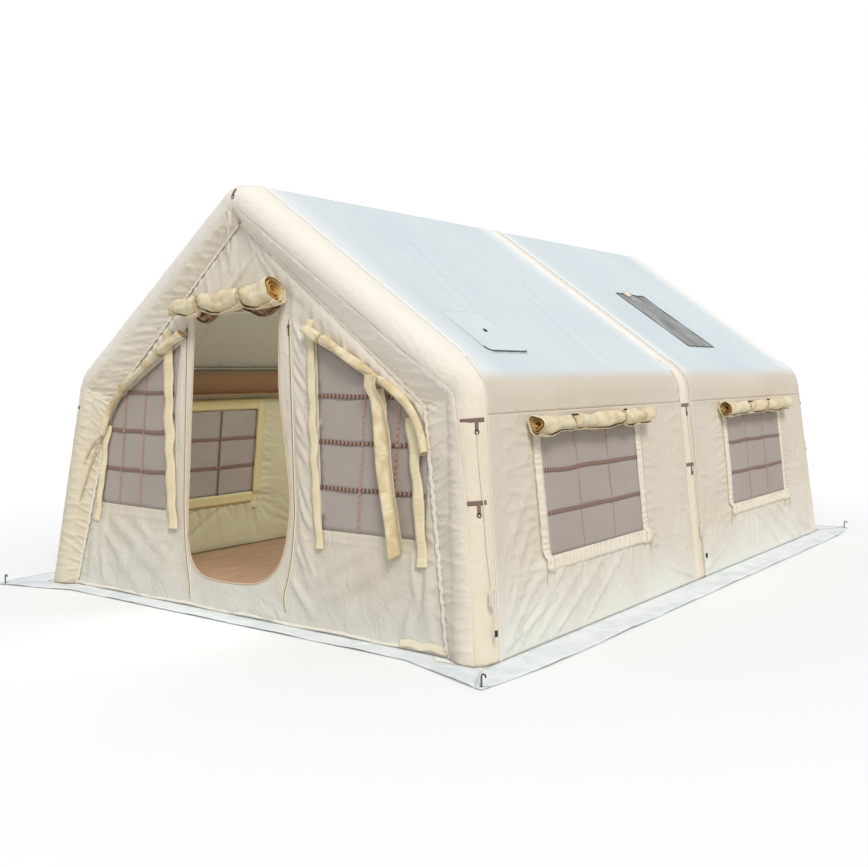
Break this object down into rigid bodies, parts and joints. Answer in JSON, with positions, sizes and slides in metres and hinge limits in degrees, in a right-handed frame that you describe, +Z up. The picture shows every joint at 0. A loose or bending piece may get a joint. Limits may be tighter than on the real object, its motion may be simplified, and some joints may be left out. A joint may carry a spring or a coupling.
{
  "type": "inflatable tent",
  "caption": "Inflatable house tent: air-beam arches in sleeves, cloth roof and walls, net windows with rolled covers, rolled door, skylight, stove opening, ground skirt and guy ropes.",
  "frame": {"origin": "on the ground under the middle of the tent, the middle of its box's underside", "axes": "+X to the tent's right seen from the door, +Y from the door gable to the rear, +Z up"},
  "size_m": [4.517, 6.64, 2.812],
  "materials": {
    "sleeve_cloth": "matt",
    "wall_cloth": "matt",
    "roof_cloth": "matt",
    "beam_cloth": "matt",
    "net_cloth": "matt",
    "roll_cloth": "matt",
    "inner_net": "matt",
    "floor_cloth": "satin",
    "skirt_cloth": "satin",
    "stove_cloth": "matt",
    "clear_film": "gloss",
    "bladder": "satin",
    "zip_tape": "satin",
    "zip_metal": "satin",
    "rope": "matt",
    "black_plastic": "satin",
    "peg_steel": "satin"
  },
  "bodies": {
    "tent": {"front_arch_beam": "bladder", "front_arch_sleeve": "sleeve_cloth", "middle_arch_beam": "bladder", "middle_arch_sleeve": "sleeve_cloth", "rear_arch_beam": "bladder", "rear_arch_sleeve": "sleeve_cloth", "ridge_beam_front": "beam_cloth", "ridge_beam_rear": "beam_cloth", "right_eave_beam_front": "beam_cloth", "right_eave_beam_rear": "beam_cloth", "left_eave_beam_front": "beam_cloth", "left_eave_beam_rear": "beam_cloth", "roof_front_bay": "roof_cloth", "front_skirt": "skirt_cloth", "front_gable_wall": "wall_cloth", "right_wall_front": "wall_cloth", "right_window_net_front": "net_cloth", "right_window_roll_front": "roll_cloth", "left_wall_front": "wall_cloth", "left_window_net_front": "net_cloth", "left_window_roll_front": "roll_cloth", "roof_rear_bay": "roof_cloth", "rear_skirt": "skirt_cloth", "rear_gable_wall": "wall_cloth", "right_wall_rear": "wall_cloth", "right_window_net_rear": "net_cloth", "right_window_roll_rear": "roll_cloth", "left_wall_rear": "wall_cloth", "left_window_net_rear": "net_cloth", "left_window_roll_rear": "roll_cloth", "right_gable_net": "net_cloth", "right_gable_roll": "roll_cloth", "right_skirt": "skirt_cloth", "door_zip_right": "zip_tape", "left_gable_net": "net_cloth", "left_gable_roll": "roll_cloth", "left_skirt": "skirt_cloth", "door_zip_left": "zip_tape", "gable_loose_flap": "roll_cloth", "door_roll": "roll_cloth", "door_net_roll": "inner_net", "groundsheet": "floor_cloth", "skylight_film": "clear_film", "stove_panel": "stove_cloth", "inflation_valve": "black_plastic", "front_guy_rope": "rope", "front_guy_hank": "rope", "middle_guy_rope": "rope", "middle_guy_hank": "rope", "apex_guy_rope": "rope", "apex_guy_hank": "rope"},
    "door_slider_left": {"door_slider_left": "zip_metal"},
    "door_slider_right": {"door_slider_right": "zip_metal"},
    "stove_cover": {"stove_cover": "roof_cloth"},
    "valve_cap": {"valve_cap": "black_plastic"},
    "front_tensioner": {"front_tensioner": "black_plastic"},
    "middle_tensioner": {"middle_tensioner": "black_plastic"},
    "front_right_peg": {"front_right_peg": "peg_steel"},
    "rear_right_peg": {"rear_right_peg": "peg_steel"},
    "front_left_peg": {"front_left_peg": "peg_steel"}
  },
  "joints": [
    {"name": "left_zip_slide", "type": "slide", "parent": "tent", "child": "door_slider_left", "axis": [0.0223, -0.063, -0.9978], "range_m": [0, 1.1]},
    {"name": "right_zip_slide", "type": "slide", "parent": "tent", "child": "door_slider_right", "axis": [0.0904, -0.0627, -0.9939], "range_m": [0, 1.1]},
    {"name": "stove_cover_hinge", "type": "hinge", "parent": "tent", "child": "stove_cover", "pos_m": [1.2376, -2.135, 1.985], "axis": [0, -1, 0], "range_deg": [0, 165]},
    {"name": "valve_cap_turn", "type": "hinge", "parent": "tent", "child": "valve_cap", "pos_m": [-1.7093, 2.8277, 0.4399], "axis": [0.9737, -0.19, -0.1258], "range_deg": [0, 90]},
    {"name": "front_tensioner_slide", "type": "slide", "parent": "tent", "child": "front_tensioner", "axis": [-0.1071, 0.1038, 0.9888], "range_m": [0, 0.09]},
    {"name": "middle_tensioner_slide", "type": "slide", "parent": "tent", "child": "middle_tensioner", "axis": [-0.1076, 0, 0.9942], "range_m": [0, 0.09]},
    {"name": "front_right_peg_pull", "type": "slide", "parent": "tent", "child": "front_right_peg", "axis": [0, 0, 1], "range_m": [0, 0.12]},
    {"name": "rear_right_peg_pull", "type": "slide", "parent": "tent", "child": "rear_right_peg", "axis": [0, 0, 1], "range_m": [0, 0.12]},
    {"name": "front_left_peg_pull", "type": "slide", "parent": "tent", "child": "front_left_peg", "axis": [0, 0, 1], "range_m": [0, 0.12]}
  ]
}
